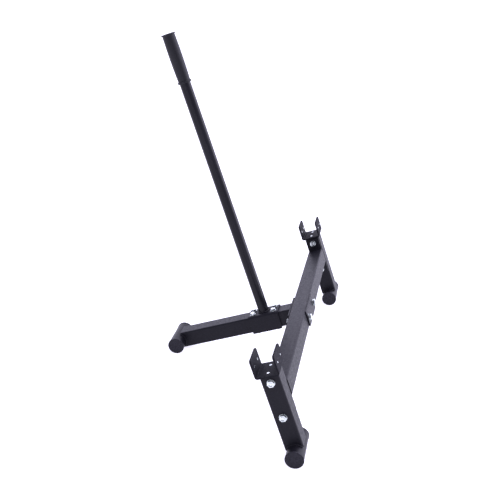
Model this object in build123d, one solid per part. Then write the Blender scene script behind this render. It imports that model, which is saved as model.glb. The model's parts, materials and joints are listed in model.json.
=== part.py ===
from build123d import *
import math
import os

# Deadlift barbell jack: a bolted frame of square tube on three round pipe feet, with two
# lined U cradles on top of inclined posts and a long lever handle over the rear leg.
# All sizes are in millimetres.  Every piece is drawn in the square frame's own directions:
# X across the jack, Y back along the leg, Z up along the posts, with the origin in the
# middle of the front feet's axis.  The whole frame is then leaned back onto its rear foot.

# ---- square tube frame ----
overall_width = 990.0          # across the outer faces of the two posts
crossbar_height = 158.0        # front foot axis to crossbar axis, along the post
post_rise = 71.0               # crossbar axis to the top of the post
leg_reach = 403.0              # post axis to rear foot axis, along the leg
tube_side = 50.0
tube_wall = 2.5
tube_bend = 2.5                # inner corner radius of the square tube

# ---- round feet ----
foot_diameter = 48.3
foot_wall = 2.6
front_foot_length = 104.0      # bare pipe, without its caps
rear_foot_length = 108.0
cope_height = 13.5             # from the foot axis to the lowest corner of a coped tube
cap_overhang = 0.85            # how far the caps, which carry the jack, stand proud of a pipe
cap_thickness = 4.0
cap_edge = 1.6
cap_plug_depth = 14.0
cap_plug_wall = 2.5
cap_plug_chamfer = 1.0

# ---- plates ----
end_plate_thickness = 5.0
end_plate_inset = 2.0          # how far its long edges lie inside the post's sides
end_plate_margin = 16.0        # bolt centre to the end of the plate
clamp_plate_thickness = 4.0
leg_flange_thickness = 4.0
clamp_plate_width = 130.0      # along the crossbar
clamp_plate_inset = 1.0        # how far its long edges lie inside the tube's sides
plate_corner = 4.0

# ---- cradles ----
cradle_length = 73.0           # along the barbell
cradle_gap = 54.0              # clear width between the lined walls
cradle_height = 52.5           # from the post's top to the tips of the walls
cradle_steel = 2.5
cradle_liner = 2.5
cradle_bend = 4.0              # inner bend radius of the steel
cradle_corner = 6.0            # rounded tips of the walls
rivet_spacing = 39.0
rivet_height = 28.0            # from the cradle's underside to a wall's rivets
rivet_head_diameter = 8.0      # countersunk in the liner, so that the bar never touches it
rivet_head_height = 1.6
rivet_recess = 0.2             # how far the head lies below the liner's surface
rivet_shank_diameter = 3.2
rivet_tail_diameter = 4.8
rivet_tail_height = 0.8
rivet_tail_edge = 0.4

# ---- handle ----
handle_reach = 113.0           # post axis to handle axis, along the leg
handle_diameter = 32.0
handle_wall = 2.0
handle_length = 856.0          # tube alone, from the saddle's top
saddle_length = 94.0
saddle_thickness = 4.0
saddle_gap = 0.3               # play between the leg's sides and the saddle's sides
saddle_overhang = 2.5          # how far the saddle's sides pass the leg's underside
saddle_bend = 3.5
saddle_corner = 3.0

# ---- rubber grip ----
grip_length = 139.0
grip_end_thickness = 4.0
grip_neck_top_wall = 1.7       # rubber thickness over the tube
grip_belly_wall = 2.7
grip_neck_bottom_wall = 1.2
grip_rim_wall = 4.2
grip_rim_width = 4.0
grip_collar_wall = 3.7
grip_collar_width = 7.0
grip_edge = 1.2
grip_vent_diameter = 6.0

# ---- fasteners: large ones hold the frame, small ones hold the saddle ----
large_bolt_diameter = 10.0
large_hex_across_flats = 17.0
large_head_height = 6.4
large_nut_height = 8.0
large_washer_diameter = 21.0
large_washer_bore = 10.5
large_washer_thickness = 2.0
small_bolt_diameter = 8.0
small_hex_across_flats = 13.0
small_head_height = 5.3
small_nut_height = 6.8
small_washer_diameter = 17.0
small_washer_bore = 8.4
small_washer_thickness = 1.6
bolt_hole_play = 0.5           # radial play of a bolt in its hole
thread_play = 0.05             # radial play of a nut on its bolt
hex_chamfer = 0.9              # how far the hexagon's corners are turned down
bolt_tip_chamfer = 1.0
washer_edge = 0.3
bolt_tail = 1.5                # thread that shows past the nut
post_bolt_offset = 50.0        # bolt centre above and below the crossbar axis
clamp_bolt_spacing = 100.0
saddle_bolt_spacing = 66.0     # along the leg
saddle_bolt_edge = 12.0        # bolt centre to the side of the leg

# ---- weld beads ----
plate_weld = 3.0
handle_weld = 4.0
foot_weld = 2.5
foot_weld_drop = 4.0           # fill below a coped tube's straight walls
foot_weld_inset = 0.8
cradle_weld = 3.0

# ---- worked out ----
tube_corner = tube_bend + tube_wall
foot_radius = foot_diameter / 2
cap_radius = foot_radius + cap_overhang
half_side = tube_side / 2
post_height = crossbar_height + post_rise
post_x = overall_width / 2 - half_side
end_plate_x = overall_width / 2 - tube_side - end_plate_thickness / 2
end_plate_width = tube_side - 2 * end_plate_inset
clamp_plate_height = tube_side - 2 * clamp_plate_inset
crossbar_length = overall_width - 2 * tube_side - 2 * end_plate_thickness
end_plate_length = 2 * (post_bolt_offset + end_plate_margin)
leg_start = half_side + leg_flange_thickness
leg_end = leg_reach - cope_height
leg_top = crossbar_height + half_side
saddle_top = leg_top + saddle_thickness
cradle_wall = cradle_steel + cradle_liner
large_hole_radius = large_bolt_diameter / 2 + bolt_hole_play
small_hole_radius = small_bolt_diameter / 2 + bolt_hole_play
clamp_bolt_x = clamp_bolt_spacing / 2
saddle_bolt_x = half_side - saddle_bolt_edge
saddle_bolt_places = [
    (across * saddle_bolt_x, handle_reach + along * saddle_bolt_spacing / 2)
    for along in (-1, 1) for across in (-1, 1)
]
post_bolt_heights = [crossbar_height + way * post_bolt_offset for way in (-1, 1)]
cutter_reach = 4 * tube_side   # longer than any joint is thick
lean = math.degrees(math.atan2(crossbar_height, leg_reach))
upright = (Align.CENTER, Align.CENTER, Align.MIN)
hanging = (Align.CENTER, Align.CENTER, Align.MAX)
side_names = {"left": -1, "right": 1}
nodes = {}


def square_tube(length):
    """A length of square tube standing on the XY plane."""
    bore = tube_side - 2 * tube_wall
    outside = RectangleRounded(tube_side, tube_side, tube_corner)
    inside = RectangleRounded(bore, bore, tube_bend)
    return extrude(outside - inside, length)


def foot_cylinder(radius, length, y, z):
    """A round bar lying along X."""
    return Pos(0, y, z) * Rot(0, 90, 0) * Cylinder(radius, length)


def holes(points, turn, radius):
    """Round cutters at the given points, turned to the given direction."""
    return [Pos(*point) * Rot(*turn) * Cylinder(radius, cutter_reach) for point in points]


def rounded_plate(width, thickness, height):
    """A flat plate with rounded corners, its thickness along Y, centred."""
    outline = RectangleRounded(width, height, plate_corner)
    return Rot(90, 0, 0) * extrude(outline, thickness / 2, both=True)


def channel(gap, depth, thickness, bend, length, corner):
    """A bent U open towards +Z, its floor's underside on Z = 0 and its length along X."""
    outline = Rectangle(gap + 2 * thickness, depth, align=(Align.CENTER, Align.MIN))
    outline = fillet(outline.vertices().group_by(Axis.Y)[0], bend + thickness)
    hollow = Pos(0, thickness) * Rectangle(gap, depth, align=(Align.CENTER, Align.MIN))
    hollow = fillet(hollow.vertices().group_by(Axis.Y)[0], bend)
    bent = extrude(Plane.YZ * (outline - hollow), length / 2, both=True)
    tips = bent.edges().filter_by(Axis.Y).group_by(Axis.Z)[-1]
    return fillet(tips, corner)


def square_weld(side, leg, corner):
    """A fillet weld round the end of a square tube that stands on the XY plane."""
    bead = extrude(RectangleRounded(side + 2 * leg, side + 2 * leg, corner + leg), leg, taper=45)
    return bead - extrude(RectangleRounded(side, side, corner), leg)


class Fastener:
    """A hex bolt with its nut and two washers, in the sizes of one thread."""

    def __init__(self, bolt_diameter, across_flats, head_height, nut_height, washer_sizes):
        self.bolt_radius = bolt_diameter / 2
        self.corner_radius = across_flats / math.sqrt(3)
        self.head_height = head_height
        self.nut_height = nut_height
        self.washer_diameter, self.washer_bore, self.washer_thickness = washer_sizes

    def hexagon(self, height):
        """A hexagonal prism on the XY plane with its upper corners turned down."""
        prism = extrude(RegularPolygon(self.corner_radius, 6), height)
        turned = Cylinder(self.corner_radius, height, align=upright)
        turned = chamfer(turned.edges().group_by(Axis.Z)[-1], hex_chamfer / 2, hex_chamfer)
        return prism & turned

    def bolt(self, grip):
        """A bolt whose washer sits on Z = 0 and whose nut side is at Z = -grip."""
        length = grip + 2 * self.washer_thickness + self.nut_height + bolt_tail
        shank = Cylinder(self.bolt_radius, length, align=hanging)
        shank = chamfer(shank.edges().group_by(Axis.Z)[0], bolt_tip_chamfer)
        return Pos(0, 0, self.washer_thickness) * (self.hexagon(self.head_height) + shank)

    def washer(self, base):
        """A plain washer whose lower face is at the given height."""
        ring = Cylinder(self.washer_diameter / 2, self.washer_thickness)
        ring = chamfer(ring.edges(), washer_edge)
        ring -= Cylinder(self.washer_bore / 2, self.washer_thickness)
        return Pos(0, 0, base + self.washer_thickness / 2) * ring

    def nut(self, grip):
        """A nut under the far washer, its turned face away from the washer."""
        bore = Cylinder(self.bolt_radius + thread_play, self.nut_height, align=upright)
        under = Pos(0, 0, -grip - self.washer_thickness) * Rot(180, 0, 0)
        return under * (self.hexagon(self.nut_height) - bore)

    def add_joint(self, name, places, grip):
        """The same joint at every place, with one node for each kind of piece."""
        under = -grip - self.washer_thickness
        nodes[name + "_bolts"] = Compound([place * self.bolt(grip) for place in places])
        nodes[name + "_head_washers"] = Compound([place * self.washer(0) for place in places])
        nodes[name + "_nut_washers"] = Compound([place * self.washer(under) for place in places])
        nodes[name + "_nuts"] = Compound([place * self.nut(grip) for place in places])


def foot_cap(length, side):
    """A round plastic end cap with its hollow plug inside the pipe, on the X side given."""
    bore_radius = foot_radius - foot_wall
    disc = Cylinder(cap_radius, cap_thickness, align=upright)
    disc = fillet(disc.edges().group_by(Axis.Z)[-1], cap_edge)
    plug = Cylinder(bore_radius, cap_plug_depth, align=upright)
    plug = chamfer(plug.edges().group_by(Axis.Z)[0], cap_plug_chamfer)
    plug -= Cylinder(bore_radius - cap_plug_wall, cap_plug_depth, align=upright)
    cap = disc + Pos(0, 0, -cap_plug_depth) * plug
    return Pos(side * length / 2, 0, 0) * Rot(0, side * 90, 0) * cap


def foot_pipe(length):
    """An open pipe lying along X about the origin."""
    inner = foot_cylinder(foot_radius - foot_wall, length, 0, 0)
    return foot_cylinder(foot_radius, length, 0, 0) - inner


def cope_weld():
    """The bead where a square tube, standing along Z, is coped over a foot pipe."""
    outer_side = tube_side + 2 * foot_weld
    inner_side = tube_side - 2 * foot_weld_inset
    ring = extrude(Rectangle(outer_side, inner_side), foot_radius + foot_weld)
    ring -= extrude(Rectangle(tube_side, tube_side), foot_radius + foot_weld)
    bead = ring & foot_cylinder(foot_radius + foot_weld, outer_side, 0, 0)
    lowest = Pos(0, 0, cope_height - foot_weld_drop)
    fill = lowest * extrude(Rectangle(inner_side, inner_side), foot_weld_drop)
    bead &= lowest * extrude(Rectangle(outer_side, outer_side), foot_radius)
    return (bead + fill) - foot_cylinder(foot_radius, outer_side, 0, 0)


def build_crossbar():
    """The crossbar, its two end plates and their welds."""
    bar = Pos(-crossbar_length / 2, 0, crossbar_height) * Rot(0, 90, 0)
    bar = bar * square_tube(crossbar_length)
    places = [(side * clamp_bolt_x, 0, crossbar_height) for side in (-1, 1)]
    nodes["crossbar"] = bar - holes(places, (90, 0, 0), large_hole_radius)
    for name, side in side_names.items():
        plate = rounded_plate(end_plate_width, end_plate_thickness, end_plate_length)
        plate = Rot(0, 0, 90) * plate
        plate = Pos(side * end_plate_x, 0, crossbar_height) * plate
        places = [(side * end_plate_x, 0, height) for height in post_bolt_heights]
        nodes["end_plate_" + name] = plate - holes(places, (0, 90, 0), large_hole_radius)
        bead = square_weld(tube_side, plate_weld, tube_corner)
        bead &= Box(cutter_reach, end_plate_width, 2 * plate_weld)
        start = Pos(side * crossbar_length / 2, 0, crossbar_height)
        nodes["crossbar_weld_" + name] = start * Rot(0, -side * 90, 0) * bead


def build_post(name, side):
    """One post with its foot pipe, caps and foot weld."""
    post = Pos(side * post_x, 0, cope_height) * square_tube(post_height - cope_height)
    post -= Pos(side * post_x, 0, 0) * foot_cylinder(foot_radius, cutter_reach, 0, 0)
    places = [(side * post_x, 0, height) for height in post_bolt_heights]
    nodes["post_" + name] = post - holes(places, (0, 90, 0), large_hole_radius)
    middle = Pos(side * post_x, 0, 0)
    nodes["foot_weld_" + name] = middle * cope_weld()
    nodes["foot_pipe_" + name] = middle * foot_pipe(front_foot_length)
    for end, way in (("outer", 1), ("inner", -1)):
        nodes[f"foot_cap_{name}_{end}"] = middle * foot_cap(front_foot_length, way * side)


def countersink():
    """The sunk room for a rivet's head, its mouth at Z = 0 and the shank's hole below it."""
    mouth = Cylinder(rivet_head_diameter / 2, rivet_recess, align=hanging)
    return mouth + Pos(0, 0, -rivet_recess) * rivet_head() + rivet_shank()


def rivet_head():
    """A flat-topped cone, its top at Z = 0."""
    radii = (rivet_shank_diameter / 2, rivet_head_diameter / 2)
    return Cone(*radii, rivet_head_height, align=hanging)


def rivet_shank():
    """A straight shank from Z = 0 down through both layers of a cradle."""
    return Cylinder(rivet_shank_diameter / 2, cradle_wall, align=hanging)


def rivet(floor_rivet):
    """A rivet through liner and steel, with the liner's surface on Z = 0."""
    shank = rivet_shank() - Cylinder(rivet_head_diameter / 2, rivet_recess, align=hanging)
    body = shank + Pos(0, 0, -rivet_recess) * rivet_head()
    if floor_rivet:
        return body
    tail = Cylinder(rivet_tail_diameter / 2, rivet_tail_height, align=hanging)
    tail = fillet(tail.edges().group_by(Axis.Z)[0], rivet_tail_edge)
    return body + Pos(0, 0, -cradle_wall) * tail


def build_cradle(name, side):
    """One U cradle of bent plate, its riveted liner and the weld under it."""
    top = Pos(side * post_x, 0, post_height)
    steel_gap = cradle_gap + 2 * cradle_liner
    steel = channel(steel_gap, cradle_height, cradle_steel, cradle_bend, cradle_length, cradle_corner)
    lining = channel(
        cradle_gap, cradle_height - cradle_steel, cradle_liner,
        cradle_bend - cradle_liner, cradle_length, cradle_corner,
    )
    lining = Pos(0, 0, cradle_steel) * lining
    floor = Pos(0, 0, cradle_wall)
    places = []
    for along in (-rivet_spacing / 2, rivet_spacing / 2):
        places.append((Pos(along, 0, 0) * floor, True))
        for way in (-1, 1):
            wall = Pos(along, way * cradle_gap / 2, rivet_height) * Rot(way * 90, 0, 0)
            places.append((wall, False))
    sunk = [place * countersink() for place, _ in places]
    nodes["cradle_" + name] = top * (steel - sunk)
    nodes["cradle_liner_" + name] = top * (lining - sunk)
    rivets = [top * place * rivet(on_floor) for place, on_floor in places]
    nodes["cradle_rivets_" + name] = Compound(rivets)
    bead = square_weld(tube_side, cradle_weld, tube_corner)
    nodes["cradle_weld_" + name] = top * Rot(180, 0, 0) * bead


def build_leg():
    """The rear leg with its flange, clamp plate, rear foot and welds."""
    leg = Pos(0, leg_start, crossbar_height) * Rot(-90, 0, 0) * square_tube(leg_end - leg_start)
    leg -= foot_cylinder(foot_radius, cutter_reach, leg_reach, crossbar_height)
    places = [(x, y, crossbar_height) for x, y in saddle_bolt_places]
    nodes["rear_leg"] = leg - holes(places, (0, 0, 0), small_hole_radius)
    places = [(way * clamp_bolt_x, 0, crossbar_height) for way in (-1, 1)]
    cutters = holes(places, (90, 0, 0), large_hole_radius)
    flange = rounded_plate(clamp_plate_width, leg_flange_thickness, clamp_plate_height)
    flange = Pos(0, half_side + leg_flange_thickness / 2, crossbar_height) * flange
    nodes["leg_flange"] = flange - cutters
    plate = rounded_plate(clamp_plate_width, clamp_plate_thickness, clamp_plate_height)
    plate = Pos(0, -half_side - clamp_plate_thickness / 2, crossbar_height) * plate
    nodes["clamp_plate"] = plate - cutters
    bead = square_weld(tube_side, plate_weld, tube_corner)
    bead &= Box(cutter_reach, clamp_plate_height, 2 * plate_weld)
    nodes["leg_weld"] = Pos(0, leg_start, crossbar_height) * Rot(-90, 0, 0) * bead
    foot = Pos(0, leg_reach, crossbar_height)
    nodes["foot_pipe_rear"] = foot * foot_pipe(rear_foot_length)
    for name, side in side_names.items():
        nodes["foot_cap_rear_" + name] = foot * foot_cap(rear_foot_length, side)
    nodes["foot_weld_rear"] = foot * Rot(90, 0, 0) * cope_weld()


def build_saddle():
    """The bent saddle over the leg."""
    gap = tube_side + 2 * saddle_gap
    depth = saddle_thickness + tube_side + saddle_overhang
    saddle = channel(gap, depth, saddle_thickness, saddle_bend, saddle_length, saddle_corner)
    saddle = Pos(0, handle_reach, saddle_top) * Rot(0, 0, 90) * Rot(180, 0, 0) * saddle
    places = [(x, y, saddle_top) for x, y in saddle_bolt_places]
    nodes["saddle"] = saddle - holes(places, (0, 0, 0), small_hole_radius)


def build_handle():
    """The round lever tube, the weld at its foot and its rubber grip."""
    base = Pos(0, handle_reach, saddle_top)
    radius = handle_diameter / 2
    tube = Cylinder(radius, handle_length, align=upright)
    tube -= Cylinder(radius - handle_wall, handle_length, align=upright)
    nodes["handle_tube"] = base * tube
    bead = Cone(radius + handle_weld, radius, handle_weld, align=upright)
    nodes["handle_weld"] = base * (bead - Cylinder(radius, handle_weld, align=upright))
    grip_top = handle_length + grip_end_thickness
    nodes["handle_grip"] = base * Pos(0, 0, grip_top - grip_length) * build_grip()


def build_grip():
    """The grip: a belly between a lower collar and an upper rim, with a vented closed end."""
    bore = handle_diameter / 2
    shoulder = grip_collar_width
    under_rim = grip_length - grip_rim_width
    neck_bottom = bore + grip_neck_bottom_wall
    neck_top = bore + grip_neck_top_wall
    widest_belly = bore + grip_belly_wall
    collar = bore + grip_collar_wall
    rim = bore + grip_rim_wall
    vent = grip_vent_diameter / 2
    belly = ThreePointArc(
        (neck_bottom, shoulder), (widest_belly, (shoulder + under_rim) / 2), (neck_top, under_rim),
    )
    tube_end = grip_length - grip_end_thickness
    outline = [
        Polyline(
            (bore, tube_end), (bore, 0), (collar, 0), (collar, shoulder), (neck_bottom, shoulder),
        ),
        belly,
        Polyline(
            (neck_top, under_rim), (rim, under_rim), (rim, grip_length), (vent, grip_length),
            (vent, tube_end), (bore, tube_end),
        ),
    ]
    section = Plane.XZ * make_face(Wire(Curve(outline).edges()))
    grip = revolve(section, Axis.Z)
    rings = grip.edges().filter_by(GeomType.CIRCLE)
    proud = [edge for edge in rings if edge.radius > widest_belly]
    return fillet(proud, grip_edge)


def add_bolted_joints():
    """All the through bolts: posts to end plates, leg to crossbar, saddle to leg."""
    large = Fastener(
        large_bolt_diameter, large_hex_across_flats, large_head_height, large_nut_height,
        (large_washer_diameter, large_washer_bore, large_washer_thickness),
    )
    small = Fastener(
        small_bolt_diameter, small_hex_across_flats, small_head_height, small_nut_height,
        (small_washer_diameter, small_washer_bore, small_washer_thickness),
    )
    places = []
    for side in (-1, 1):
        for height in post_bolt_heights:
            places.append(Pos(side * overall_width / 2, 0, height) * Rot(0, side * 90, 0))
    large.add_joint("post", places, tube_side + end_plate_thickness)
    front_face = -half_side - clamp_plate_thickness
    places = []
    for way in (-1, 1):
        places.append(Pos(way * clamp_bolt_x, front_face, crossbar_height) * Rot(90, 0, 0))
    large.add_joint("clamp", places, tube_side + clamp_plate_thickness + leg_flange_thickness)
    places = [Pos(x, y, saddle_top) for x, y in saddle_bolt_places]
    small.add_joint("saddle", places, tube_side + saddle_thickness)


build_crossbar()
for side_name, side_sign in side_names.items():
    build_post(side_name, side_sign)
    build_cradle(side_name, side_sign)
build_leg()
build_saddle()
build_handle()
add_bolted_joints()

# Lean the frame back onto its rear foot, then put the origin on the floor in the middle
# of the whole jack's footprint.
standing = {name: Pos(0, 0, cap_radius) * Rot(-lean, 0, 0) * shape for name, shape in nodes.items()}
extent = Compound([Compound(shape.solids()) for shape in standing.values()]).bounding_box()
centre = Pos(0, -(extent.min.Y + extent.max.Y) / 2, 0)

os.makedirs("parts", exist_ok=True)
for name, shape in standing.items():
    export_step(centre * shape, f"parts/{name}.step")
    print(f"{name}: {len(shape.solids())} solids, {shape.volume / 1000:.1f} cm3")
print(f"lean {lean:.2f} degrees, size {extent.size}")
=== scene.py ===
import json
import math

import bmesh
import bpy
from mathutils import Matrix, Vector


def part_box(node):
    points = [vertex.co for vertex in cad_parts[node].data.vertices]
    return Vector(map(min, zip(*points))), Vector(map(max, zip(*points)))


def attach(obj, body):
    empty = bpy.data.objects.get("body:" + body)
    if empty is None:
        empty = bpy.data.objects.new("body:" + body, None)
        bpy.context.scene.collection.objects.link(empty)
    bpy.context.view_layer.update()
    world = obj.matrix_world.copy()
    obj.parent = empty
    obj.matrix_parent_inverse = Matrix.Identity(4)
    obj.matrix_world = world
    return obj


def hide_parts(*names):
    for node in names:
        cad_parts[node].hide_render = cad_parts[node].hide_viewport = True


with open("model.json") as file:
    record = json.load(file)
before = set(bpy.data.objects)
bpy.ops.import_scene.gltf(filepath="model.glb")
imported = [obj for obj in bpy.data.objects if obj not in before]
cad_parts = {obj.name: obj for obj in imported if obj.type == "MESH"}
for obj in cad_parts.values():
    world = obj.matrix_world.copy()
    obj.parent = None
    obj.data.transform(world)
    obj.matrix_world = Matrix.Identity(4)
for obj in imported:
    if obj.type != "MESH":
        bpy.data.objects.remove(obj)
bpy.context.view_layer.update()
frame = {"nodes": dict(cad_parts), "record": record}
nodes = frame["nodes"]
scene = bpy.context.scene
print("frame loaded:", len(nodes), "nodes")

# the jack leans back as one, so pieces are modelled square and then stood up with this matrix
seat = frame["record"]["mounts"][0]
lean = math.atan2(seat["axis"][1], seat["axis"][2])
footLow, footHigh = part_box("foot_pipe_left")
frontAxis = (footLow + footHigh) / 2
standUp = Matrix.Translation((0, frontAxis.y, frontAxis.z)) @ Matrix.Rotation(-lean, 4, "X")
laySquare = standUp.inverted()
sameCorner = 0.000002  # metres: corners closer than this are one


# the boxes of a node's separate solids, in square directions
def squareBoxes(nodeName):
    mesh = bmesh.new()
    mesh.from_mesh(nodes[nodeName].data)
    bmesh.ops.remove_doubles(mesh, verts=mesh.verts[:], dist=sameCorner)
    left = set(mesh.verts)
    boxes = []
    while left:
        island, front = [], [left.pop()]
        while front:
            corner = front.pop()
            island.append(laySquare @ corner.co)
            for edge in corner.link_edges:
                other = edge.other_vert(corner)
                if other in left:
                    left.remove(other)
                    front.append(other)
        low = Vector([min(point[i] for point in island) for i in range(3)])
        high = Vector([max(point[i] for point in island) for i in range(3)])
        boxes.append((low, high))
    mesh.free()
    return sorted(boxes, key=lambda box: [round(value, 4) for value in box[0]])


# the box of a whole node, in square directions
def squareBox(nodeName):
    boxes = squareBoxes(nodeName)
    low = Vector([min(box[0][i] for box in boxes) for i in range(3)])
    high = Vector([max(box[1][i] for box in boxes) for i in range(3)])
    return low, high


# where the camera stands, worked from the middle of the front feet's axis
cameraLook = {
    "targetFromAxis": (-0.0695, 0.21585, 0.35658),
    "distance": 2.2863,
    "azimuth": -80.75,  # degrees round from the front, towards the left side
    "elevation": 22.69,
    "roll": 3.27,
    "lens": 57.29,
    "sensorWidth": 36,
    "farthest": 200,
}


def addCamera(look):
    azimuth, elevation = math.radians(look["azimuth"]), math.radians(look["elevation"])
    level = math.cos(elevation)
    away = Vector((math.sin(azimuth) * level, -math.cos(azimuth) * level, math.sin(elevation)))
    target = Vector((0, frontAxis.y, frontAxis.z)) + Vector(look["targetFromAxis"])
    place = target + away * look["distance"]
    bpy.ops.object.camera_add(location=place)
    camera = bpy.context.object
    camera.name = "viewCamera"
    turn = away.to_track_quat("Z", "Y").to_matrix().to_4x4()
    turn = turn @ Matrix.Rotation(math.radians(look["roll"]), 4, "Z")
    camera.matrix_world = Matrix.Translation(place) @ turn
    camera.data.lens = look["lens"]
    camera.data.sensor_width = look["sensorWidth"]
    camera.data.clip_end = look["farthest"]
    scene.camera = camera


addCamera(cameraLook)
print("camera placed")

studioLook = {
    "skyColor": (0.82, 0.80, 1.0),
    "brightWay": (0.9, -0.2, -0.1),  # the sky is brightest on the right and dim behind the camera
    "brightRange": (-0.6, 0.9),  # how nearly a direction is brightWay, where the sky is dimmest and brightest
    "skyStrength": (0.6, 3.2),
    "lampColor": (0.87, 0.85, 1.0),
    "sunStrength": 2.8,
    "sunAngle": 80,
    "sunFrom": (0.15, -0.4, 1.0),
    "edgeBoxPlace": (1.2, -2.9, 1.0),
    "edgeBoxAim": (0, 0, 0.4),
    "edgeBoxWidth": 1.6,
    "edgeBoxHeight": 2.4,
    "edgeBoxPower": 52,
    "floorSize": 120,
    "floorColor": (0.44, 0.44, 0.44),
    "floorGlow": (0.86, 0.84, 1.0),  # the floor is a lit table, so that it stays white under the feet
    "floorRoughness": 0.9,
    "floorSpecular": 0.1,
}


def addSky(look):
    world = bpy.data.worlds.new("studioWorld")
    world.use_nodes = True
    tree = world.node_tree
    background = tree.nodes["Background"]
    background.inputs["Color"].default_value = (*look["skyColor"], 1)
    direction = tree.nodes.new("ShaderNodeTexCoord")
    facingBright = tree.nodes.new("ShaderNodeVectorMath")
    facingBright.operation = "DOT_PRODUCT"
    facingBright.inputs[1].default_value = look["brightWay"]
    spread = tree.nodes.new("ShaderNodeMapRange")
    spread.inputs["From Min"].default_value, spread.inputs["From Max"].default_value = look["brightRange"]
    spread.inputs["To Min"].default_value, spread.inputs["To Max"].default_value = look["skyStrength"]
    tree.links.new(direction.outputs["Generated"], facingBright.inputs[0])
    tree.links.new(facingBright.outputs["Value"], spread.inputs["Value"])
    tree.links.new(spread.outputs["Result"], background.inputs["Strength"])
    scene.world = world


def addLamps(look):
    bpy.ops.object.light_add(type="SUN", location=(0, 0, 3))
    sun = bpy.context.object
    sun.name = "softSun"
    sun.data.energy = look["sunStrength"]
    sun.data.color = look["lampColor"]
    sun.data.angle = math.radians(look["sunAngle"])
    sun.rotation_euler = Vector(look["sunFrom"]).to_track_quat("Z", "Y").to_euler()
    place = Vector(look["edgeBoxPlace"])
    bpy.ops.object.light_add(type="AREA", location=place)
    edgeBox = bpy.context.object
    edgeBox.name = "edgeSoftbox"
    edgeBox.data.shape = "RECTANGLE"
    edgeBox.data.size = look["edgeBoxWidth"]
    edgeBox.data.size_y = look["edgeBoxHeight"]
    edgeBox.data.energy = look["edgeBoxPower"]
    edgeBox.data.color = look["lampColor"]
    edgeBox.rotation_euler = (place - Vector(look["edgeBoxAim"])).to_track_quat("Z", "Y").to_euler()


def addFloor(look):
    bpy.ops.mesh.primitive_plane_add(size=look["floorSize"])
    floor = bpy.context.object
    floor.name = "studioFloor"
    material = bpy.data.materials.new("paleFloor")
    material.use_nodes = True
    shader = material.node_tree.nodes["Principled BSDF"]
    shader.inputs["Base Color"].default_value = (*look["floorColor"], 1)
    shader.inputs["Roughness"].default_value = look["floorRoughness"]
    shader.inputs["Specular IOR Level"].default_value = look["floorSpecular"]
    shader.inputs["Emission Color"].default_value = (*look["floorGlow"], 1)
    shader.inputs["Emission Strength"].default_value = 1.0
    floor.data.materials.append(material)


addSky(studioLook)
addLamps(studioLook)
addFloor(studioLook)
scene.view_settings.view_transform = "Standard"
print("studio lit")


# a new finish with its shader, and small helpers for the nodes that feed it
class Finish:
    def __init__(self, name):
        self.material = bpy.data.materials.new(name)
        self.material.use_nodes = True
        self.tree = self.material.node_tree
        self.shader = self.tree.nodes["Principled BSDF"]
        self.place = self.tree.nodes.new("ShaderNodeTexCoord").outputs["Object"]

    def put(self, socketName, value):
        self.shader.inputs[socketName].default_value = value

    def feed(self, source, socket):
        self.tree.links.new(source, socket)

    # turns the pattern upright on the leaning jack and stretches it
    def along(self, scale):
        mapping = self.tree.nodes.new("ShaderNodeMapping")
        mapping.vector_type = "TEXTURE"
        mapping.inputs["Rotation"].default_value = (-lean, 0, 0)
        mapping.inputs["Scale"].default_value = scale
        self.feed(self.place, mapping.inputs["Vector"])
        return mapping.outputs["Vector"]

    def noise(self, scale, detail=2.0, roughness=0.5, source=None):
        texture = self.tree.nodes.new("ShaderNodeTexNoise")
        texture.inputs["Scale"].default_value = scale
        texture.inputs["Detail"].default_value = detail
        texture.inputs["Roughness"].default_value = roughness
        self.feed(source or self.place, texture.inputs["Vector"])
        return texture.outputs["Fac"]

    def cells(self, scale):
        texture = self.tree.nodes.new("ShaderNodeTexVoronoi")
        texture.inputs["Scale"].default_value = scale
        self.feed(self.place, texture.inputs["Vector"])
        return texture.outputs["Distance"]

    # colour runs between the given stops as the pattern goes from dark to light
    def colorBy(self, source, stops):
        ramp = self.tree.nodes.new("ShaderNodeValToRGB")
        elements = ramp.color_ramp.elements
        while len(elements) < len(stops):
            elements.new(0.5)
        for element, (position, color) in zip(elements, stops):
            element.position = position
            element.color = (*color, 1)
        self.feed(source, ramp.inputs["Fac"])
        return ramp.outputs["Color"]

    # noise stays mostly between 0.3 and 0.7, so that span is stretched over the wanted one
    def rangeOf(self, source, low, high):
        spread = self.tree.nodes.new("ShaderNodeMapRange")
        spread.inputs["From Min"].default_value = 0.3
        spread.inputs["From Max"].default_value = 0.7
        spread.inputs["To Min"].default_value = low
        spread.inputs["To Max"].default_value = high
        self.feed(source, spread.inputs["Value"])
        return spread.outputs["Result"]

    def bump(self, source, distance, strength=1.0, under=None):
        relief = self.tree.nodes.new("ShaderNodeBump")
        relief.inputs["Distance"].default_value = distance
        relief.inputs["Strength"].default_value = strength
        self.feed(source, relief.inputs["Height"])
        if under is not None:
            self.feed(under, relief.inputs["Normal"])
        return relief.outputs["Normal"]

    # the ways that a pattern reaches the shader
    def tint(self, source, stops):
        self.feed(self.colorBy(source, stops), self.shader.inputs["Base Color"])

    def roughen(self, source, limits):
        self.feed(self.rangeOf(source, *limits), self.shader.inputs["Roughness"])

    def emboss(self, normal):
        self.feed(normal, self.shader.inputs["Normal"])


powderLook = {
    "deep": (0.0035, 0.0034, 0.0052),
    "pale": (0.0110, 0.0106, 0.0155),
    "patchScale": 420,
    "peelScale": 900,  # the orange peel of the baked powder, about a millimetre across
    "peelDepth": 0.00007,
    "fleckScale": 2600,
    "waveScale": 170,
    "roughness": (0.36, 0.54),
    "specular": 0.13,
}


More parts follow.
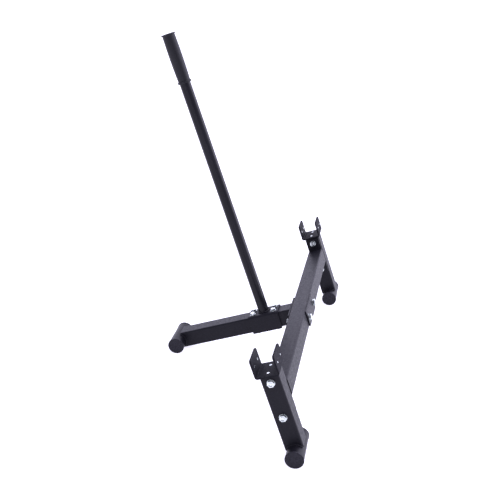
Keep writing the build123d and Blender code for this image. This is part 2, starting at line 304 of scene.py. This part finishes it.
def makePowderCoat(name, look):
    finish = Finish(name)
    finish.tint(finish.noise(look["patchScale"], 5, 0.6), [(0.3, look["deep"]), (0.7, look["pale"])])
    finish.roughen(finish.noise(look["waveScale"], 4), look["roughness"])
    peel = finish.bump(finish.noise(look["peelScale"], 2), look["peelDepth"])
    finish.emboss(finish.bump(finish.noise(look["fleckScale"], 1), look["peelDepth"] / 3, 1.0, peel))
    finish.put("Specular IOR Level", look["specular"])
    return finish.material


# the cradles are bent from plate with a drier, rougher coat
cradleLook = dict(powderLook, peelDepth=0.00010, roughness=(0.68, 0.82), specular=0.10)

pipeLook = {
    "deep": (0.0050, 0.0048, 0.0070),
    "pale": (0.0085, 0.0082, 0.0115),
    "runScale": 34,
    "runStretch": (1, 1, 6),
    "waveScale": 120,
    "peelScale": 520,
    "peelDepth": 0.00003,
    "roughness": (0.32, 0.44),
    "specular": 0.1,
}
handleLook = dict(pipeLook, peelScale=420, roughness=(0.20, 0.28), specular=0.15)


# round tube takes the same powder but keeps it glossier
def makeRoundCoat(name, look):
    finish = Finish(name)
    runs = finish.noise(look["runScale"], 4, 0.55, finish.along(look["runStretch"]))
    finish.tint(runs, [(0.3, look["deep"]), (0.7, look["pale"])])
    finish.roughen(finish.noise(look["waveScale"], 4), look["roughness"])
    finish.emboss(finish.bump(finish.noise(look["peelScale"], 2), look["peelDepth"]))
    finish.put("Specular IOR Level", look["specular"])
    return finish.material


# rubber and the liners' plastic are both rubbed one way, with a fine grain
gripLook = {
    "deep": (0.0060, 0.0060, 0.0080),
    "pale": (0.0110, 0.0110, 0.0145),
    "rubScale": 60,
    "rubDetail": 4,
    "rubStretch": (1, 1, 14),
    "grainScale": 1500,
    "grainDepth": 0.00006,
    "roughness": (0.40, 0.55),
    "specular": 0.2,
}
linerLook = {
    "deep": (0.0060, 0.0060, 0.0085),
    "pale": (0.0110, 0.0110, 0.0150),
    "rubScale": 90,
    "rubDetail": 5,
    "rubStretch": (8, 1, 1),
    "grainScale": 700,
    "grainDepth": 0.00004,
    "roughness": (0.60, 0.80),
    "specular": 0.12,
}


def makeRubbedPlastic(name, look):
    finish = Finish(name)
    rubbed = finish.noise(look["rubScale"], look["rubDetail"], 0.6, finish.along(look["rubStretch"]))
    finish.tint(rubbed, [(0.3, look["deep"]), (0.7, look["pale"])])
    finish.roughen(rubbed, look["roughness"])
    finish.emboss(finish.bump(finish.noise(look["grainScale"], 3), look["grainDepth"]))
    finish.put("Specular IOR Level", look["specular"])
    return finish.material


capLook = {
    "deep": (0.0060, 0.0060, 0.0085),
    "pale": (0.0240, 0.0230, 0.0320),
    "mottleScale": 260,
    "grainScale": 1100,
    "grainDepth": 0.00012,
    "roughness": (0.50, 0.70),
    "specular": 0.15,
}


def makeCapPlastic(name, look):
    finish = Finish(name)
    mottle = finish.noise(look["mottleScale"], 4, 0.65)
    finish.tint(mottle, [(0.35, look["deep"]), (0.65, look["pale"])])
    finish.roughen(mottle, look["roughness"])
    pits = finish.bump(finish.cells(look["grainScale"]), look["grainDepth"])
    finish.emboss(finish.bump(mottle, look["grainDepth"], 0.7, pits))
    finish.put("Specular IOR Level", look["specular"])
    return finish.material


zincLook = {
    "cool": (0.30, 0.34, 0.35),
    "plain": (0.52, 0.56, 0.55),
    "warm": (0.70, 0.70, 0.66),
    "bloomScale": 160,
    "dullScale": 480,
    "dentScale": 330,
    "dentDepth": 0.00030,
    "grainScale": 1800,
    "grainDepth": 0.00002,
    "roughness": (0.10, 0.20),
}


def makeZincPlate(name, look):
    finish = Finish(name)
    bloom = finish.noise(look["bloomScale"], 4, 0.6)
    finish.tint(bloom, [(0.32, look["cool"]), (0.5, look["plain"]), (0.72, look["warm"])])
    finish.roughen(finish.noise(look["dullScale"], 3), look["roughness"])
    dents = finish.bump(finish.noise(look["dentScale"], 2), look["dentDepth"])
    finish.emboss(finish.bump(finish.noise(look["grainScale"], 2), look["grainDepth"], 1.0, dents))
    finish.put("Metallic", 1.0)
    return finish.material


finishes = {
    "powder_coat": makePowderCoat("powderCoat", powderLook),
    "cradleCoat": makePowderCoat("cradleCoat", cradleLook),
    "roundCoat": makeRoundCoat("roundCoat", pipeLook),
    "handle_coat": makeRoundCoat("handleCoat", handleLook),
    "grip_rubber": makeRubbedPlastic("gripRubber", gripLook),
    "cap_plastic": makeCapPlastic("capPlastic", capLook),
    "liner_plastic": makeRubbedPlastic("linerPlastic", linerLook),
    "rivet_zinc": makeZincPlate("rivetZinc", zincLook),
    "zinc_steel": makeZincPlate("zincSteel", zincLook),
}
slotOf = {}
for subpart in frame["record"]["subparts"]:
    slotOf[subpart["node"]] = subpart["material_slot"]
    carried = nodes[subpart["node"]]
    carried.data.materials.clear()
    carried.data.materials.append(finishes[subpart["material_slot"]])
print("finishes made:", len(finishes))


# makes a piece the only selected one, and the active one
def takeUp(piece):
    bpy.ops.object.select_all(action="DESELECT")
    piece.select_set(True)
    bpy.context.view_layer.objects.active = piece


def applyNew(piece, kind, **settings):
    takeUp(piece)
    modifier = piece.modifiers.new(kind.lower(), kind)
    for key, value in settings.items():
        setattr(modifier, key, value)
    bpy.ops.object.modifier_apply(modifier=modifier.name)


# angles in degrees: corners above the first are rounded, and shading is smooth below the others
edgeLook = {"roundAbove": 30, "smoothBelow": 40, "turnedSmoothBelow": 35, "flatWeight": 80}


# small rounded edges, with the flat faces kept flat in the shading
def soften(piece, width, look=edgeLook):
    takeUp(piece)
    bpy.ops.object.shade_smooth()
    applyNew(
        piece, "BEVEL", width=width / 1000, segments=2, limit_method="ANGLE",
        angle_limit=math.radians(look["roundAbove"]), use_clamp_overlap=True,
    )
    bpy.ops.object.shade_smooth_by_angle(angle=math.radians(look["smoothBelow"]))
    applyNew(piece, "WEIGHTED_NORMAL", keep_sharp=True, weight=look["flatWeight"])


# a turned piece stands on the origin; its profile runs in (radius, height) millimetres
def turnedPiece(name, profile, steps, edge=None):
    bpy.ops.object.select_all(action="DESELECT")
    bpy.ops.mesh.primitive_plane_add(size=0.002)
    piece = bpy.context.object
    piece.name = name
    bpy.ops.object.mode_set(mode="EDIT")
    bpy.ops.mesh.select_all(action="SELECT")
    bpy.ops.mesh.merge(type="CENTER")
    points = [Vector((radius, 0, height)) / 1000 for radius, height in profile]
    bpy.ops.transform.translate(value=points[0])
    for before, after in zip(points, points[1:]):
        bpy.ops.mesh.extrude_region_move(TRANSFORM_OT_translate={"value": after - before})
    bpy.ops.mesh.select_all(action="SELECT")
    bpy.ops.mesh.spin(steps=steps, angle=2 * math.pi, center=(0, 0, 0), axis=(0, 0, 1))
    bpy.ops.mesh.select_all(action="SELECT")
    bpy.ops.mesh.remove_doubles(threshold=0.000001)
    bpy.ops.mesh.normals_make_consistent(inside=False)
    bpy.ops.object.mode_set(mode="OBJECT")
    if edge:
        soften(piece, edge)
    else:
        bpy.ops.object.shade_smooth_by_angle(angle=math.radians(edgeLook["turnedSmoothBelow"]))
    return piece


# points on an arc of a profile, with its angles in degrees
def arcPoints(centerRadius, centerHeight, radius, start, end, count):
    points = []
    for i in range(count + 1):
        angle = math.radians(start + (end - start) * i / count)
        points.append((centerRadius + radius * math.cos(angle), centerHeight + radius * math.sin(angle)))
    return points


# sets a piece down on the leaning jack, from its place in square directions
def setDown(piece, place, nodeName, finishName=None):
    piece.data.transform(standUp @ place)
    piece.data.update()
    piece.data.materials.clear()
    slot = slotOf[nodeName]
    piece.data.materials.append(finishes[finishName or slot])
    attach(piece, "root")
    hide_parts(nodeName)


def spareCopy(model, name):
    piece = bpy.data.objects.new(name, model.data.copy())
    scene.collection.objects.link(piece)
    return piece


def facing(axis, point):
    return Matrix.Translation(point) @ Vector(axis).to_track_quat("Z", "Y").to_matrix().to_4x4()


# cut and bent steel and the liners: each node's piece, its edge in millimetres and any other finish
softEdges = {
    "crossbar": ("crossbarTube", 0.5),
    "end_plate_left": ("endPlateLeft", 0.5),
    "end_plate_right": ("endPlateRight", 0.5),
    "post_left": ("postLeft", 0.4),
    "post_right": ("postRight", 0.4),
    "cradle_left": ("cradleSteelLeft", 0.6, "cradleCoat"),
    "cradle_right": ("cradleSteelRight", 0.6, "cradleCoat"),
    "cradle_liner_left": ("cradleLinerLeft", 0.5),
    "cradle_liner_right": ("cradleLinerRight", 0.5),
    "rear_leg": ("rearLegTube", 0.4),
    "leg_flange": ("legFlange", 0.6),
    "clamp_plate": ("clampPlate", 0.6),
    "saddle": ("handleSaddle", 0.6),
}
cleaning = {"sameCorner": 0.000004, "flatAngle": 0.6}


def softenedCopy(nodeName, name, edge, finishName=None):
    piece = spareCopy(nodes[nodeName], name)
    takeUp(piece)
    if piece.data.has_custom_normals:
        bpy.ops.mesh.customdata_custom_splitnormals_clear()
    bpy.ops.object.mode_set(mode="EDIT")
    bpy.ops.mesh.select_all(action="SELECT")
    bpy.ops.mesh.remove_doubles(threshold=cleaning["sameCorner"])
    bpy.ops.mesh.dissolve_limited(angle_limit=math.radians(cleaning["flatAngle"]))
    bpy.ops.object.mode_set(mode="OBJECT")
    soften(piece, edge)
    setDown(piece, laySquare, nodeName, finishName)


for nodeName, details in softEdges.items():
    softenedCopy(nodeName, *details)
print("edges softened:", len(softEdges))

capShape = {
    "rim": 25.0,
    "rimRound": 1.5,
    "thickness": 4.0,
    "dishRadius": 20.0,
    "dishDepth": 0.7,
    "gate": 1.6,  # the mark that the mould leaves in the middle
    "gateDepth": 0.15,
    "backChamfer": 0.5,
    "plug": 21.55,
    "plugWall": 2.5,
    "plugDepth": 14.0,
    "plugChamfer": 1.0,
}


def makeFootCap(shape):
    top, rim, rounding = shape["thickness"], shape["rim"], shape["rimRound"]
    dish, depth, gate = shape["dishRadius"], shape["dishDepth"], shape["gate"]
    floor = top - depth
    plug, plugInside, bottom = shape["plug"], shape["plug"] - shape["plugWall"], -shape["plugDepth"]
    profile = [(0, floor - shape["gateDepth"]), (gate, floor - shape["gateDepth"]), (gate + 0.3, floor)]
    profile += [(dish * 0.5, floor), (dish - 1.0, floor), (dish - 0.3, top - depth * 0.7), (dish + 0.4, top)]
    profile += [(rim - rounding - 1.2, top)]
    profile += arcPoints(rim - rounding, top - rounding, rounding, 90, 0, 6)
    profile += [(rim, shape["backChamfer"]), (rim - 0.4, 0), (plug, 0), (plug, bottom + shape["plugChamfer"])]
    profile += [(plug - shape["plugChamfer"], bottom), (plugInside, bottom), (plugInside, -0.2), (0, -0.2)]
    return turnedPiece("footCap", profile, 96)


capModel = makeFootCap(capShape)
capWays = {
    "foot_cap_left_outer": -1,
    "foot_cap_left_inner": 1,
    "foot_cap_right_inner": -1,
    "foot_cap_right_outer": 1,
    "foot_cap_rear_left": -1,
    "foot_cap_rear_right": 1,
}
for nodeName, way in capWays.items():
    low, high = squareBox(nodeName)
    end = high.x if way > 0 else low.x
    seatX = end - way * capShape["thickness"] / 1000
    words = nodeName.split("_")
    cap = spareCopy(capModel, "footCap" + words[2].capitalize() + words[3].capitalize())
    place = facing((way, 0, 0), Vector((seatX, (low.y + high.y) / 2, (low.z + high.z) / 2)))
    setDown(cap, place, nodeName)
bpy.data.objects.remove(capModel)

pipeShape = {"radius": 24.15, "wall": 2.6, "endEdge": 0.4, "rings": 4}
handleShape = {"radius": 16.0, "wall": 2.0, "endEdge": 0.4, "rings": 12}


def makeTube(name, shape, length):
    outer, inner, rings = shape["radius"], shape["radius"] - shape["wall"], shape["rings"]
    profile = [(inner, length), (inner, 0)]
    profile += [(outer, length * i / rings) for i in range(rings + 1)] + [(inner, length)]
    return turnedPiece(name, profile, 96, shape["endEdge"])


for side in ("left", "right", "rear"):
    nodeName = "foot_pipe_" + side
    low, high = squareBox(nodeName)
    pipe = makeTube("footPipe" + side.capitalize(), pipeShape, (high.x - low.x) * 1000)
    place = facing((1, 0, 0), Vector((low.x, (low.y + high.y) / 2, (low.z + high.z) / 2)))
    setDown(pipe, place, nodeName, "roundCoat")
print("feet made")

gripShape = {
    "bore": 16.0,
    "boreChamfer": 0.3,
    "collar": 19.7,
    "collarWidth": 6.0,
    "neckBottom": 17.2,
    "belly": 18.7,
    "neckTop": 17.7,
    "lowerFillet": 0.8,
    "upperFillet": 0.6,
    "rim": 20.2,
    "rimWidth": 4.0,
    "rounding": 1.2,
    "lip": 1.4,
    "edge": 0.5,
    "dish": 2.8,
    "dishFillet": 1.0,
    "endThickness": 4.0,
    "vent": 3.0,
}


def makeGrip(shape, length):
    bore, collar, rim, vent = shape["bore"], shape["collar"], shape["rim"], shape["vent"]
    rounding, edge, chamfer = shape["rounding"], shape["edge"], shape["boreChamfer"]
    inside, underRim = length - shape["endThickness"], length - shape["rimWidth"]
    profile = [(bore, inside), (bore, chamfer), (bore + chamfer, 0)]
    profile += arcPoints(collar - rounding, rounding, rounding, -90, 0, 5)
    profile += arcPoints(collar - rounding, shape["collarWidth"] - rounding, rounding, 0, 90, 5)
    fillet, start = shape["lowerFillet"], shape["collarWidth"] + shape["lowerFillet"]
    profile += arcPoints(shape["neckBottom"] + fillet, start, fillet, 270, 180, 3)
    fillet, end = shape["upperFillet"], underRim - shape["upperFillet"]
    swell = shape["belly"] - (shape["neckBottom"] + shape["neckTop"]) / 2
    for i in range(1, 28):
        part = i / 28
        straight = shape["neckBottom"] + (shape["neckTop"] - shape["neckBottom"]) * part
        profile.append((straight + swell * 4 * part * (1 - part), start + (end - start) * part))
    profile += arcPoints(shape["neckTop"] + fillet, end, fillet, 180, 90, 3)
    profile += arcPoints(rim - rounding, underRim + rounding, rounding, -90, 0, 5)
    profile += arcPoints(rim - rounding, length - rounding, rounding, 0, 90, 5)
    dishWall = rim - rounding - shape["lip"] - edge
    fillet, floor = shape["dishFillet"], length - shape["dish"]
    profile += arcPoints(dishWall + edge, length - edge, edge, 90, 180, 3)
    profile += arcPoints(dishWall - fillet, floor + fillet, fillet, 0, -90, 4)
    profile += arcPoints(vent + edge, floor - edge, edge, 90, 180, 3)
    profile += [(vent, inside), (bore, inside)]
    return turnedPiece("handleGrip", profile, 96)


low, high = squareBox("handle_grip")
grip = makeGrip(gripShape, (high.z - low.z) * 1000)
setDown(grip, Matrix.Translation(((low.x + high.x) / 2, (low.y + high.y) / 2, low.z)), "handle_grip")
low, high = squareBox("handle_tube")
handle = makeTube("handleTube", handleShape, (high.z - low.z) * 1000)
setDown(handle, Matrix.Translation(((low.x + high.x) / 2, (low.y + high.y) / 2, low.z)), "handle_tube")
print("handle and grip made")

# bolts, nuts and washers of the two thread sizes, in millimetres
largeThread = {
    "thread": 5.0, "pitch": 1.5, "flats": 17.0, "head": 6.4, "headRim": 2.2, "headSink": 1.2, "nut": 8.0,
    "washer": 10.5, "washerBore": 5.25, "washerThickness": 2.0,
}
smallThread = {
    "thread": 4.0, "pitch": 1.25, "flats": 13.0, "head": 5.3, "headRim": 1.7, "headSink": 0.9, "nut": 6.8,
    "washer": 8.5, "washerBore": 4.2, "washerThickness": 1.6,
}
fastenerForm = {
    "threaded": 20,
    "root": 0.86,  # a share of the thread's radius
    "tip": 0.92,  # a share of the root
    "leadIn": 0.4,
    "crestStart": 0.42,  # shares of the pitch
    "crestEnd": 0.55,
    "flatShare": 0.95,
    "chamferAngle": 30,
    "boreLip": 0.7,
    "headEdge": 0.18,
    "nutEdge": 0.2,
    "washerEdge": 0.3,
}


# a hexagon with its corners turned down: at both ends for a nut, and with a pressed dish for a head
def hexBlock(name, size, height, bothEnds):
    corner = size["flats"] / math.sqrt(3)
    flat = size["flats"] / 2 * fastenerForm["flatShare"]
    drop = (corner - flat) * math.tan(math.radians(fastenerForm["chamferAngle"]))
    reach = corner + 0.02
    radius, depth = corner / 1000, height / 1000
    bpy.ops.object.select_all(action="DESELECT")
    bpy.ops.mesh.primitive_cylinder_add(vertices=6, radius=radius, depth=depth, location=(0, 0, depth / 2))
    block = bpy.context.object
    block.name = name
    block.data.transform(Matrix.Rotation(math.radians(30), 4, "Z"))
    bpy.ops.object.transform_apply(location=True, rotation=True, scale=True)
    if bothEnds:
        bottom, top = [(0, 0), (flat, 0), (reach, drop)], [(0, height)]
    else:
        rim, floor = flat - size["headRim"], height - size["headSink"]
        bottom = [(0, 0), (reach, 0)]
        top = [(rim, height), (rim - size["headSink"] * 1.5, floor), (0, floor)]
    limits = turnedPiece("hexLimits", bottom + [(reach, height - drop), (flat, height)] + top, 96)
    applyNew(block, "BOOLEAN", operation="INTERSECT", object=limits, solver="EXACT")
    bpy.data.objects.remove(limits)
    return block


def threadProfile(size, bottom, top):
    crest, pitch, leadIn = size["thread"], size["pitch"], fastenerForm["leadIn"]
    root = crest * fastenerForm["root"]
    profile = [(0, bottom), (root * fastenerForm["tip"], bottom), (root, bottom + leadIn)]
    height = bottom + leadIn
    while height + pitch < top:
        profile += [(crest, height + pitch * fastenerForm["crestStart"])]
        profile += [(crest, height + pitch * fastenerForm["crestEnd"]), (root, height + pitch)]
        height += pitch
    return profile


# the bolt's bearing face is on the origin, its head up and its thread down
def makeBolt(size, length):
    head = hexBlock("bolt", size, size["head"], False)
    soften(head, fastenerForm["headEdge"])
    top = -length + fastenerForm["threaded"]
    profile = threadProfile(size, -length, top)
    profile += [(size["thread"], top + 1), (size["thread"], 0.5), (0, 0.5)]
    shank = turnedPiece("boltShank", profile, 48)
    takeUp(head)
    shank.select_set(True)
    bpy.ops.object.join()
    return head


def makeNut(size):
    nut = hexBlock("nut", size, size["nut"], True)
    height, radius, lip = size["nut"], size["thread"], fastenerForm["boreLip"]
    rings = [(0, -1), (radius + lip, -1), (radius + lip, 0), (radius, lip)]
    rings += [(radius, height - lip), (radius + lip, height), (radius + lip, height + 1), (0, height + 1)]
    bore = turnedPiece("nutBore", rings, 48)
    applyNew(nut, "BOOLEAN", operation="DIFFERENCE", object=bore, solver="EXACT")
    bpy.data.objects.remove(bore)
    soften(nut, fastenerForm["nutEdge"])
    return nut


def makeWasher(size):
    ring, bore, thickness = size["washer"], size["washerBore"], size["washerThickness"]
    profile = [(bore, thickness), (bore, 0), (ring, 0), (ring, thickness), (bore, thickness)]
    return turnedPiece("washer", profile, 64, fastenerForm["washerEdge"])


# every joint: the nodes it stands for, its thread and the way that its heads point
joints = (
    ("post", largeThread, lambda point: (math.copysign(1, point.x), 0, 0)),
    ("clamp", largeThread, lambda point: (0, -1, 0)),
    ("saddle", smallThread, lambda point: (0, 0, 1)),
)


# the middle of a box's end along an axis, and the box's length that way in millimetres
def endOf(box, axis, way):
    low, high = box
    center, half = (low + high) / 2, (high - low) / 2
    reach = abs(half.dot(Vector(axis)))
    return center + Vector(axis) * reach * way, 2000 * reach


# one kind of fastener of a joint: modelled once, then copied to every place that the node gives
def laySet(joint, size, axisAt, kind):
    nodeName = f"{joint}_{kind}"
    boxes = squareBoxes(nodeName)
    axis = axisAt((boxes[0][0] + boxes[0][1]) / 2)
    if kind == "bolts":
        model = makeBolt(size, endOf(boxes[0], axis, 1)[1] - size["head"])
    elif kind == "nuts":
        model = makeNut(size)
    else:
        model = makeWasher(size)
    pieceName = joint + "".join(word.capitalize() for word in kind.split("_"))[:-1]
    for count, box in enumerate(boxes, 1):
        axis = axisAt((box[0] + box[1]) / 2)
        if kind == "bolts":
            point = endOf(box, axis, 1)[0] - Vector(axis) * size["head"] / 1000
        else:
            point = endOf(box, axis, -1)[0]
        setDown(spareCopy(model, f"{pieceName}{count}"), facing(axis, point), nodeName)
    bpy.data.objects.remove(model)


for joint, size, axisAt in joints:
    for kind in ("bolts", "head_washers", "nut_washers", "nuts"):
        laySet(joint, size, axisAt, kind)
print("bolts, nuts and washers made")

rivetShape = {
    "head": 4.0,
    "headHeight": 1.6,
    "recess": 0.2,
    "dimple": 1.6,
    "dimpleDepth": 0.3,
    "shank": 1.6,
    "through": 5.0,
    "tail": 2.4,
    "tailHeight": 0.8,
}


# a countersunk rivet with the liner's surface on the origin: flat head with a pressed dimple
def makeRivet(shape, withTail):
    top, head, dimple, depth = -shape["recess"], shape["head"], shape["dimple"], shape["dimpleDepth"]
    profile = [(0, top - depth), (dimple * 0.375, top - depth * 0.9), (dimple * 0.75, top - depth / 6)]
    profile += [(dimple, top), (head - 0.25, top), (head, top - 0.2)]
    profile += [(shape["shank"], top - shape["headHeight"]), (shape["shank"], -shape["through"])]
    if withTail:
        tail, low = shape["tail"], -shape["through"] - shape["tailHeight"]
        profile += [(tail, -shape["through"]), (tail, low + 0.45), (tail - 0.5, low + 0.08)]
        profile += [(tail * 0.4, low), (0, low + 0.1)]
    else:
        profile += [(0, -shape["through"])]
    return turnedPiece("rivet", profile, 48, 0.08)


rivetModels = {withTail: makeRivet(rivetShape, withTail) for withTail in (False, True)}
for side in ("left", "right"):
    nodeName = "cradle_rivets_" + side
    low, high = squareBox(nodeName)
    center = (low + high) / 2
    for count, box in enumerate(squareBoxes(nodeName), 1):
        offset = (box[0] + box[1]) / 2 - center
        onWall = abs(offset.y) > 0.01
        axis = (0, -math.copysign(1, offset.y), 0) if onWall else (0, 0, 1)
        point = endOf(box, axis, 1)[0] + Vector(axis) * rivetShape["recess"] / 1000
        rivet = spareCopy(rivetModels[onWall], f"rivet{side.capitalize()}{count}")
        setDown(rivet, facing(axis, point), nodeName)
for model in rivetModels.values():
    bpy.data.objects.remove(model)
print("rivets made")

# weld beads in metres: overlapping drops laid along a seam, melted together
beadLook = {
    "step": 0.0021,
    "swell": 0.05,  # the drops' sizes vary by these shares, each round its own turn
    "swellTurn": 2.1,
    "drift": 0.03,
    "driftTurn": 0.7,
    "melt": 0.00045,
    "smooth": 3,
    "tubeCorner": 0.005,
    "cradleRadius": 0.0019,
    "plateRadius": 0.0021,
    "roundRadius": 0.0026,
    "copeAngle": 56,
}


# points a step apart along a path of straight runs
def seamPoints(path, step, closed):
    if closed:
        path = path + [path[0]]
    points, carry = [], 0.0
    for start, end in zip(path, path[1:]):
        run = (end - start).length
        reach = carry
        while reach < run:
            points.append(start.lerp(end, reach / run))
            reach += step
        carry = reach - run
    return points


def layBead(name, nodeName, paths, radius, look=beadLook):
    bpy.ops.object.select_all(action="DESELECT")
    bpy.ops.mesh.primitive_ico_sphere_add(subdivisions=2, radius=radius)
    drop = bpy.context.object
    drops = []
    for path, closed in paths:
        for i, point in enumerate(seamPoints(path, look["step"], closed)):
            copy = spareCopy(drop, f"drop{i}")
            swell = look["swell"] * math.sin(i * look["swellTurn"])
            drift = look["drift"] * math.sin(i * look["driftTurn"])
            size = 1 + swell + drift
            copy.data.transform(Matrix.Translation(point) @ Matrix.Scale(size, 4))
            drops.append(copy)
    bpy.data.objects.remove(drop)
    takeUp(drops[0])
    for copy in drops:
        copy.select_set(True)
    bpy.ops.object.join()
    bead = bpy.context.object
    bead.name = name
    applyNew(bead, "REMESH", mode="VOXEL", voxel_size=look["melt"], use_smooth_shade=True)
    applyNew(bead, "SMOOTH", factor=0.5, iterations=look["smooth"])
    bpy.ops.object.shade_smooth()
    setDown(bead, Matrix.Identity(4), nodeName)


# a level loop round a square tube with rounded corners
def loopAround(center, halfSide, corner):
    points = []
    for signX, signY, start in ((1, 1, 0), (-1, 1, 90), (-1, -1, 180), (1, -1, 270)):
        for i in range(7):
            angle = math.radians(start + 90 * i / 6)
            x = signX * (halfSide - corner) + corner * math.cos(angle)
            y = signY * (halfSide - corner) + corner * math.sin(angle)
            points.append(center + Vector((x, y, 0)))
    return points


def layCradleBead(side, out=0.0007, down=0.0009):
    low, high = squareBox("post_" + side)
    top = Vector((((low + high) / 2).x, 0, high.z - down))
    loop = loopAround(top, (high.x - low.x) / 2 + out, beadLook["tubeCorner"] + out)
    layBead("cradleBead" + side.capitalize(), "cradle_weld_" + side, [(loop, True)], beadLook["cradleRadius"])


def layCrossbarBead(side, way, out=0.0008, inward=0.0009, short=0.0022):
    barLow, barHigh = squareBox("crossbar")
    end = way * (barHigh.x - inward)
    edge = squareBox("end_plate_" + side)[1].y - short
    seams = []
    for height in (barHigh.z + out, barLow.z - out):
        seams.append(([Vector((end, -edge, height)), Vector((end, edge, height))], False))
    layBead("crossbarBead" + side.capitalize(), "crossbar_weld_" + side, seams, beadLook["plateRadius"])


def layLegBead(out=0.0008, back=0.0009, short=0.002):
    flangeLow, flangeHigh = squareBox("leg_flange")
    legSide = squareBox("rear_leg")[1].x
    start, bottom, top = flangeHigh.y + back, flangeLow.z + short, flangeHigh.z - short
    seams = []
    for across in (-legSide - out, legSide + out):
        seams.append(([Vector((across, start, bottom)), Vector((across, start, top))], False))
    layBead("legBead", "leg_weld", seams, beadLook["plateRadius"])


def layHandleBead(out=0.0009, up=0.0011):
    low, high = squareBox("handle_tube")
    foot = Vector((0, (low.y + high.y) / 2, low.z + up))
    radius = (high.x - low.x) / 2 + out
    turns = [math.tau * i / 60 for i in range(60)]
    ring = [foot + radius * Vector((math.cos(turn), math.sin(turn), 0)) for turn in turns]
    layBead("handleBead", "handle_weld", [(ring, True)], beadLook["roundRadius"])


# the seam where a square tube is coped over a round foot, the tube's way off the foot given
def copeSeam(center, tubeWay, halfSide, radius, out=0.0008, sideOut=0.0007):
    across = Vector((0, tubeWay.z, -tubeWay.y))
    reach, half = radius + out, halfSide + sideOut
    limit = math.radians(beadLook["copeAngle"])
    points = []
    for side in (1, -1):
        for i in range(17):
            angle = side * (-limit + 2 * limit * i / 16)
            around = tubeWay * math.cos(angle) + across * math.sin(angle)
            points.append(center + Vector((side * half, 0, 0)) + reach * around)
    return points


for side, way in (("left", -1), ("right", 1)):
    layCradleBead(side)
    layCrossbarBead(side, way)
layLegBead()
layHandleBead()
tubeLow, tubeHigh = squareBox("post_right")  # the leg and both posts are of one tube
copes = (("left", Vector((0, 0, 1))), ("right", Vector((0, 0, 1))), ("rear", Vector((0, -1, 0))))
for side, tubeWay in copes:
    low, high = squareBox("foot_pipe_" + side)
    halfSide = (tubeHigh.x - tubeLow.x) / 2
    seam = copeSeam((low + high) / 2, tubeWay, halfSide, pipeShape["radius"] / 1000)
    layBead("footBead" + side.capitalize(), "foot_weld_" + side, [(seam, True)], beadLook["roundRadius"])
print("weld beads laid")
